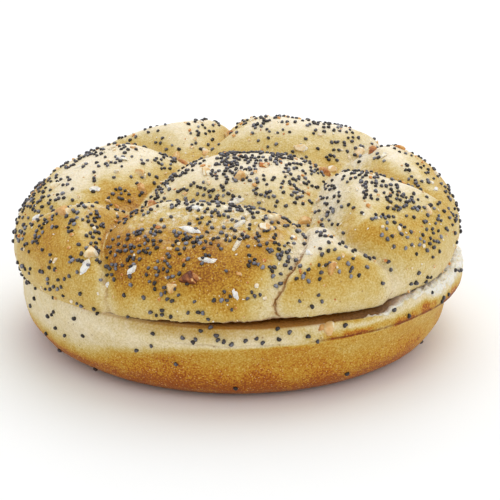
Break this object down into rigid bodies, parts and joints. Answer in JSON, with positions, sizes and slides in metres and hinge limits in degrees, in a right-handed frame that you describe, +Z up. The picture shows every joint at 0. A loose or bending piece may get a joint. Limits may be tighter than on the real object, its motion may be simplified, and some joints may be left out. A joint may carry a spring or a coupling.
{
  "type": "poppy seed buckwheat burger bun",
  "caption": "Round sliced burger bun: flat tin-baked heel and a plaited, creased crown dusted with poppy seeds and buckwheat chips.",
  "frame": {"origin": "middle of the heel's flat base, on the surface that the bun stands on", "axes": "+Z up through the crown; -Y is the front that the picture shows; +X is the side where the slit between crown and heel opens"},
  "size_m": [0.1048, 0.104, 0.043],
  "materials": {
    "crust": "matte",
    "tin_crust": "matte",
    "poppy": "matte",
    "chips": "matte"
  },
  "bodies": {
    "root": {"crown": "crust", "heel": "tin_crust"}
  },
  "joints": []
}
